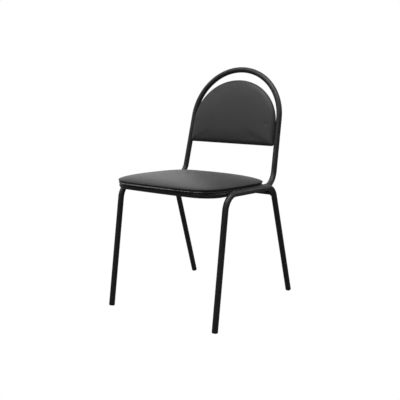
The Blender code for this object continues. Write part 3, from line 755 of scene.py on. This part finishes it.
def hem_with_painted_highlight():
    """Hem roll's dark leatherette with a painted highlight: pale flecks along its lit front edge, in
    dashes, stopping towards the right.
    """
    made = Finish("hem_with_painted_highlight", Specular_IOR_Level=0.3)
    # Painted highlight: pale flecks where light catches the hem's front, broken into dashes along X, dark
    # again towards the right and kept to the front
    highlight_flecks = made.ramp(made.noise(scale=420, detail=2), (0.40, HEM_DARK), (0.55, HEM_PAINTED_HIGHLIGHT))
    highlight_gaps = made.ramp(made.noise(scale=120, detail=1), (0.47, 0.0), (0.55, 1.0))
    highlight_dashes = made.mix(highlight_gaps, HEM_DARK, highlight_flecks)
    front_highlight = made.mix(made.reach("X", *HEM_HIGHLIGHT_BREAKS), highlight_flecks, highlight_dashes)
    seen = made.mix(made.reach("X", *HEM_HIGHLIGHT_END), front_highlight, HEM_DARK)
    made.colour(made.mix(made.reach("Y", *HEM_HIGHLIGHT_FRONT), HEM_DARK, seen))
    made.roughness(made.noise(scale=300, detail=2), low=0.55, high=0.7)
    made.bump((made.noise(scale=1200, detail=2), 0.0001))
    return made.material


def powder_coat():
    """Semi-matt black powder coat with a fine orange peel."""
    made = Finish("powder_coat", Specular_IOR_Level=0.5)
    made.colour(made.ramp(made.noise(scale=30, detail=3), (0.35, PAINT_DARK), (0.65, PAINT_PALE)))
    made.roughness(made.noise(scale=120, detail=3), low=0.42, high=0.50)
    made.bump((made.noise(scale=650, detail=2), 0.00006), (made.noise(scale=2200, detail=1), 0.00003))
    return made.material


def plug_plastic():
    """Moulded black plastic with pale scuffs."""
    made = Finish("plug_plastic", Specular_IOR_Level=0.3)
    scuff = made.ramp(made.noise(scale=300, detail=4), (0.5, PLASTIC_CLEAN), (0.72, PLASTIC_SCUFFED))
    made.colour(made.mix(0.5, PLASTIC_CLEAN, scuff))
    made.roughness(made.noise(scale=200, detail=3), low=0.5, high=0.65)
    made.bump((made.noise(scale=1500, detail=2), 0.00004))
    return made.material


def zinc():
    """Zinc plate with a faint warm bloom."""
    made = Finish("zinc", Metallic=1.0)
    made.colour(made.ramp(made.noise(scale=220, detail=3), (LOW, ZINC_DULL), (HIGH, ZINC_BRIGHT)))
    made.roughness(made.noise(scale=500, detail=3), low=0.28, high=0.42)
    made.bump((made.noise(scale=2500, detail=2), 0.00002))
    return made.material


def plywood():
    """Raw birch plywood, its grain running from front to rear."""
    made = Finish("plywood", Specular_IOR_Level=0.3)
    grain = made.noise(scale=22, detail=5, stretch=(7.0, 0.14, 7.0), distortion=0.4)
    pore = made.noise(scale=260, detail=2, stretch=(7.0, 0.12, 7.0))
    tone = made.ramp(grain, (LOW, PLY_DARK), (MIDDLE, PLY_MIDDLE), (HIGH, PLY_PALE))
    made.colour(made.mix(1.0, tone, made.ramp(pore, (0.35, 0.8), (0.6, 1.0)), "MULTIPLY"))
    made.roughness(grain, low=0.6, high=0.75)
    made.bump((pore, 0.0001))
    return made.material


LEATHERETTE = leatherette()
HEM_WITH_PAINTED_HIGHLIGHT = hem_with_painted_highlight()
POWDER_COAT = powder_coat()
PLUG_PLASTIC = plug_plastic()
ZINC = zinc()
PLYWOOD = plywood()


def finish_piece(obj, material, slot, *replaced):
    """Give a new piece its material and the nodes that it stands for; the slot argument is not used."""
    obj.data.materials.clear()
    obj.data.materials.append(material)
    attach(obj, "root")
    if replaced:
        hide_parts(*replaced)


def build_seat():
    """Seat cushion: crown, drawn-in side, hem and the pocket that holds the board."""
    cushion = Cushion(seat_outline, SEAT_CENTRE, seat_sag, SEAT_CELLS)
    rim = cushion.face(seat_top, True)
    free = sum(len(kept) for kept in cushion.points)
    rim = cushion.side(rim, [
        (inset, level, (level - SEAT_HEM) / (SEAT_EDGE - SEAT_HEM)) for inset, level in SEAT_SIDE
    ])
    rim = cushion.side(rim, [(inset, SEAT_HEM, 0) for inset in (*HEM_ROWS, HEM_WIDTH)])
    inner = BOARD_INSET - GAP
    pocket = SEAT_HEM + HEM_THICKNESS
    rim = cushion.side(rim, ((HEM_WIDTH, pocket, 0), (inner, pocket, 0)))
    cushion.join(rim, cushion.face(flat_face(inner, SEAT_BOARD_TOP + GAP), False))
    obj = cushion.build("seat_cushion")
    swell(obj, free, SEAT_SWELL_CAP)
    subdivide(obj)
    obj.matrix_world = RAIL_PLANE
    finish_piece(obj, LEATHERETTE, "leatherette", "seat_foam", "seat_cover")


def build_hem_roll():
    """Rolled hem under the seat's side, gathered in small irregular folds."""
    turn = np.arange(HEM_ROLL_POINTS) / HEM_ROLL_POINTS
    path = along(seat_outline(HEM_ROLL_INSET), turn)
    path = np.column_stack((path, np.full(HEM_ROLL_POINTS, HEM_ROLL_LEVEL)))
    wave = 2 * math.pi * turn
    gather = sum(strength * np.sin(number * wave + phase) for strength, number, phase in HEM_WAVES)
    shape = sweep(path, HEM_ROLL_RADIUS * (1 + HEM_GATHER * gather), HEM_ROLL_SIDES, closed=True)
    # The hem's finish carries the painted highlight along its lit front
    finish_piece(add_shape("seat_hem_roll", shape, RAIL_PLANE), HEM_WITH_PAINTED_HIGHLIGHT, "leatherette")


def pull_in(obj):
    """Draw the pad's front in over its screws, with short folds round each spot."""
    points = points_of(obj.data)
    front = points[:, 2] > PAD_EDGE
    for spot in BACK_SCREWS.values():
        across = points[:, :2] - spot
        far = np.linalg.norm(across, axis=1) / PULL_WIDTH
        turn = np.arctan2(across[:, 1], across[:, 0])
        folds = PULL_FOLD * np.cos(PULL_FOLDS * turn) * far ** 2 * np.exp(-(far - 1) ** 2)
        drop = PULL_DEPTH * np.exp(-far ** 2) + folds * np.exp(-far)
        points[:, 2] -= np.where(front, drop, 0)
    set_points(obj.data, points)


def build_pad():
    """Back pad: full front, seam round its widest line, flat rear over its board."""
    centre = (0.0, (PAD_TOP + PAD_BOTTOM) / 2)
    cushion = Cushion(pad_outline, centre, no_sag, PAD_CELLS)
    rim = cushion.face(pad_front, True)
    free = sum(len(kept) for kept in cushion.points)
    for row in cushion.points:
        row[:, 2] += pad_crown(row[:, :2])
    turn = [
        (PAD_EDGE_ROUND * (1 - math.cos(angle)), PAD_EDGE - (PAD_EDGE - PAD_REAR) * math.sin(angle))
        for angle in PAD_EDGE_ANGLES
    ]
    rim = cushion.side(rim, [(inset, level, 0) for inset, level in (*PAD_SEAM, *turn)])
    cushion.join(rim, cushion.face(flat_face(PAD_EDGE_ROUND, PAD_REAR), False))
    obj = cushion.build("back_cushion")
    swell(obj, free, PAD_SWELL_CAP)
    subdivide(obj)
    pull_in(obj)
    obj.matrix_world = POST_PLANE
    finish_piece(obj, LEATHERETTE, "leatherette", "back_foam", "back_front_cover", "back_rear_cover")


def hoop_half():
    """Centre line of the hoop's right half, from the middle of the front bar to the top of the arch."""
    half = HOOP_HALF_WIDTH
    bow = (half ** 2 + FRONT_BOW ** 2) / (2 * FRONT_BOW)
    bow_centre = Vector((0, FRONT_BAR + bow, 0))
    corner_x = half - FRONT_CORNER
    back = math.sqrt((bow - FRONT_CORNER) ** 2 - corner_x ** 2)
    corner_centre = Vector((corner_x, FRONT_BAR + bow - back, 0))
    meeting = bow_centre + (corner_centre - bow_centre).normalized() * bow
    flat = arc(bow_centre, Vector((0, FRONT_BAR, 0)), meeting)
    flat += arc(corner_centre, meeting, Vector((half, corner_centre.y, 0)))[1:]
    points = [RAIL_PLANE @ point for point in flat]
    spring = Vector((ARCH_RADIUS * math.cos(ARCH_TANGENT), ARCH_RADIUS * math.sin(ARCH_TANGENT), 0))
    points += bend(points[-1], POST_TOE, POST_PLANE @ spring, POST_BEND)
    points += arc(ARCH_CENTRE, POST_PLANE @ spring, POST_PLANE @ Vector((0, ARCH_RADIUS, 0)))
    return points


def build_frame():
    """The bent tubes, round and smooth: hoop, leg frames and cross tube."""
    right = hoop_half()
    hoop = sweep(right + mirrored(right[1:-1])[::-1], TUBE_RADIUS, TUBE_SIDES, closed=True)
    leg = [FRONT_LEG_END]
    leg += bend(FRONT_LEG_END, FRONT_LEG_CORNER, REAR_LEG_CORNER, FRONT_LEG_BEND)
    leg += bend(FRONT_LEG_CORNER, REAR_LEG_CORNER, REAR_LEG_END, REAR_LEG_BEND)
    leg.append(REAR_LEG_END)
    shapes = {
        "back_seat_hoop": hoop,
        "leg_tube_left": pipe(mirrored(leg), TUBE_RADIUS, TUBE_WALL),
        "leg_tube_right": pipe(leg, TUBE_RADIUS, TUBE_WALL),
        "rear_cross_tube": pipe([*mirrored([CROSS_END]), CROSS_END], CROSS_RADIUS, CROSS_WALL),
    }
    for node, shape in shapes.items():
        finish_piece(add_shape("round_" + node, shape), POWDER_COAT, "frame_paint", node)


def bead(ends, place):
    """A rippled weld bead between two points of a plane."""
    first, last = (np.array(end) for end in ends)
    count = int(np.linalg.norm(last - first) / BEAD_PITCH) * BEAD_POINTS + 1
    spots = [first + (last - first) * index / (count - 1) for index in range(count)]
    return ripple([place @ Vector(spot) for spot in spots])


def ripple(path):
    """A bar whose radius comes and goes as a weld's ripples do, and tapers at its ends."""
    run = np.arange(len(path))
    wave = 1 + BEAD_RIPPLE * np.sin(2 * math.pi * run / BEAD_POINTS)
    taper = np.minimum(1, BEAD_END + np.minimum(run, run[::-1]) / BEAD_POINTS)
    return bar(path, BEAD_RADIUS * wave * taper, BEAD_SIDES)


def saddle(side):
    """Centre line of the weld where the cross tube meets the rear bend of a leg frame."""
    round_tube = np.linspace(0, 2 * math.pi, SADDLE_POINTS)
    reach = CROSS_RADIUS + SADDLE_LIFT
    aside = np.minimum(reach * abs(np.sin(round_tube + CROSS_LEG_FALL)), SADDLE_REACH)
    out = CROSS_END.x + TUBE_RADIUS - np.sqrt(TUBE_RADIUS ** 2 - aside ** 2)
    return [
        Vector((side * x, CROSS_END.y + reach * math.cos(angle), CROSS_END.z + reach * math.sin(angle)))
        for x, angle in zip(out - SADDLE_LIFT, round_tube)
    ]


def build_welds():
    """Weld beads under the paint: rails, cross tube and lugs."""
    beads = []
    for side in (-1, 1):
        beads.append(ripple(saddle(side)))
        middle = side * (HOOP_HALF_WIDTH + TUBE_RADIUS)
        for start, end in RAIL_BEADS:
            ends = ((middle, start, RAIL_BEAD_LEVEL), (middle, end, RAIL_BEAD_LEVEL))
            beads.append(bead(ends, RAIL_PLANE))
    for x, y in SEAT_SCREWS.values():
        edge = math.copysign(SEAT_LUG_EDGE - SEAT_BEAD_INSET, x)
        level = SEAT_LUG_LEVEL - SEAT_BEAD_DROP
        ends = ((edge, y - LUG_HALF_WELD, level), (edge, y + LUG_HALF_WELD, level))
        beads.append(bead(ends, RAIL_PLANE))
    for x, up in BACK_SCREWS.values():
        edge = math.copysign(BACK_LUG_EDGE, x)
        lean = math.copysign(LUG_HALF_WELD * ARCH_TANGENT, x)
        level = BACK_LUG_LEVEL - BACK_BEAD_DROP
        ends = ((edge + lean, up - LUG_HALF_WELD, level), (edge - lean, up + LUG_HALF_WELD, level))
        beads.append(bead(ends, POST_PLANE))
    finish_piece(add_shape("frame_welds", joined(beads)), POWDER_COAT, "frame_paint")


def recess():
    """Tapered cross that is cut into a screw's head."""
    long, wide = RECESS_ARM
    cross = []
    for turn in range(4):
        for x, y in ((long, -wide), (long, wide), (wide, wide)):
            for _ in range(turn):
                x, y = -y, x
            cross.append((x, y))
    cross = np.array(cross)
    count = len(cross)
    head = -SCREW_HEAD[-1][1]
    deep = np.column_stack((cross * RECESS_TAPER, np.full(count, head + RECESS_DEPTH)))
    mouth = np.column_stack((cross * (2 - RECESS_TAPER), np.full(count, head - RECESS_DEPTH)))
    faces = [tuple(range(count)), tuple(range(count, 2 * count))[::-1]]
    return np.vstack((deep, mouth)), faces + band(0, count, count, flip=True)


def carve(obj, cutter):
    """Cut one piece out of another for good."""
    modifier = obj.modifiers.new("carve", "BOOLEAN")
    modifier.operation = "DIFFERENCE"
    modifier.solver = "EXACT"
    modifier.object = cutter
    apply(obj, modifier).set_sharp_from_angle(angle=SHARP_ANGLE)


def build_screws():
    """Pan heads with a cross recess, where the part has its screws."""
    cutter = add_shape("recess_cutter", recess())
    profile = [(SCREW_TIP, SCREW_LENGTH), (SCREW_SHANK, SCREW_LENGTH - SCREW_TIP_LENGTH), (SCREW_SHANK, 0)]
    profile += [(radius, -depth) for radius, depth in SCREW_HEAD]
    kinds = (
        (SEAT_SCREWS, RAIL_PLANE, SEAT_LUG_LEVEL),
        (BACK_SCREWS, POST_PLANE, BACK_LUG_LEVEL),
    )
    for spots, plane, level in kinds:
        for node, spot in spots.items():
            screw = add_shape("cross_head_" + node, turned(profile, SCREW_SIDES))
            carve(screw, cutter)
            screw.matrix_world = plane @ Matrix.Translation((*spot, level - GAP))
            finish_piece(screw, ZINC, "fastener_zinc", node)
    bpy.data.objects.remove(cutter)


def build_plugs():
    """Foot plugs on the axes of the tubes' ends, worn flat where they stand."""
    for end, tip, corner in (
        ("front", FRONT_LEG_END, FRONT_LEG_CORNER),
        ("rear", REAR_LEG_END, REAR_LEG_CORNER),
    ):
        for name, side in (("left", -1), ("right", 1)):
            foot = Vector((side * tip.x, tip.y, tip.z))
            axis = (Vector((side * corner.x, corner.y, corner.z)) - foot).normalized()
            turn = axis.to_track_quat("Z", "Y").to_matrix().to_4x4()
            place = Matrix.Translation(foot - axis * (PLUG_HEAD + GAP)) @ turn
            points, faces = turned(PLUG_PROFILE[::-1], TUBE_SIDES)
            points = np.array([place @ Vector(point) for point in points])
            points[:, 2] = np.maximum(points[:, 2], 0)
            plug = add_shape(f"turned_foot_plug_{end}_{name}", (points, faces))
            finish_piece(plug, PLUG_PLASTIC, "foot_plastic", f"foot_plug_{end}_{name}")


def dress_nodes():
    """Finishes of the nodes that stay as they are."""
    finishes = {
        "frame_paint": POWDER_COAT,
        "fastener_zinc": ZINC,
        "plywood": PLYWOOD,
    }
    for part in frame["record"]["subparts"]:
        if part["material_slot"] in finishes:
            obj = NODES[part["node"]]
            obj.data.materials.clear()
            obj.data.materials.append(finishes[part["material_slot"]])


def add_floor():
    """Pale floor that shows white and throws no light on the chair."""
    shape = bmesh.new()
    bmesh.ops.create_grid(shape, x_segments=FLOOR_CELLS, y_segments=FLOOR_CELLS, size=FLOOR_HALF)
    mesh = bpy.data.meshes.new("floor")
    shape.to_mesh(mesh)
    shape.free()
    floor = add_piece("floor", mesh)
    pale = Finish("pale_floor", Roughness=1.0, Specular_IOR_Level=0.0, Emission_Strength=1.0)
    pale.shader.inputs["Emission Color"].default_value = WHITE
    pale.colour(pale.ramp(pale.noise(scale=2, detail=2), (LOW, 0.0), (HIGH, 0.002)))
    mesh.materials.append(pale.material)
    floor.visible_diffuse = False
    floor.visible_glossy = False


def add_surround():
    """A surround that shows white, and lights the chair from below the horizon."""
    world = bpy.data.worlds.new("surround")
    bpy.context.scene.world = world
    world.use_nodes = True
    tree = world.node_tree
    glow = tree.nodes["Background"]
    where = tree.nodes.new("ShaderNodeTexCoord").outputs["Generated"]
    split = tree.nodes.new("ShaderNodeSeparateXYZ")
    tree.links.new(where, split.inputs[0])
    level = tree.nodes.new("ShaderNodeMapRange")
    level.inputs["From Min"].default_value = -SKY_BLEND
    level.inputs["From Max"].default_value = SKY_BLEND
    level.inputs["To Min"].default_value = SKY_BELOW
    level.inputs["To Max"].default_value = SKY_ABOVE
    tree.links.new(split.outputs["Z"], level.inputs["Value"])
    tree.links.new(level.outputs["Result"], glow.inputs["Strength"])
    glow.inputs["Color"].default_value = WHITE
    seen = tree.nodes.new("ShaderNodeBackground")
    seen.inputs["Color"].default_value = WHITE
    seen.inputs["Strength"].default_value = 1.0
    path = tree.nodes.new("ShaderNodeLightPath")
    choose = tree.nodes.new("ShaderNodeMixShader")
    tree.links.new(path.outputs["Is Camera Ray"], choose.inputs[0])
    tree.links.new(glow.outputs[0], choose.inputs[1])
    tree.links.new(seen.outputs[0], choose.inputs[2])
    tree.links.new(choose.outputs[0], tree.nodes["World Output"].inputs["Surface"])


def add_lights():
    """Large soft lights that look at the chair from all round."""
    for name, azimuth, elevation, power in LIGHTS:
        lamp = bpy.data.lights.new(name, "AREA")
        lamp.shape = "SQUARE"
        lamp.size = LIGHT_SIZE
        lamp.energy = power
        light = add_piece(name, lamp)
        about = Matrix.Rotation(math.radians(azimuth), 3, "Z")
        up = Matrix.Rotation(-math.radians(elevation), 3, "Y")
        away = about @ up @ Vector((LIGHT_DISTANCE, 0, 0))
        light.location = LIGHT_TARGET + away
        light.rotation_euler = (-away).to_track_quat("-Z", "Y").to_euler()
        light.visible_camera = False


def add_camera():
    """The camera at the photograph's angle."""
    lens = bpy.data.cameras.new("camera")
    lens.sensor_width = CAMERA_SENSOR
    lens.lens = CAMERA_LENS
    camera = add_piece("camera", lens)
    camera.location = CAMERA_PLACE
    camera.rotation_euler = (math.radians(90 - CAMERA_TILT), 0, math.radians(CAMERA_TURN))
    bpy.context.scene.camera = camera


def build_stage():
    """Floor, surround, lights and camera, with colours shown as they are."""
    bpy.context.scene.view_settings.view_transform = "Standard"
    add_floor()
    add_surround()
    add_lights()
    add_camera()


build_seat()
build_hem_roll()
build_pad()
build_frame()
build_welds()
build_screws()
build_plugs()
dress_nodes()
build_stage()
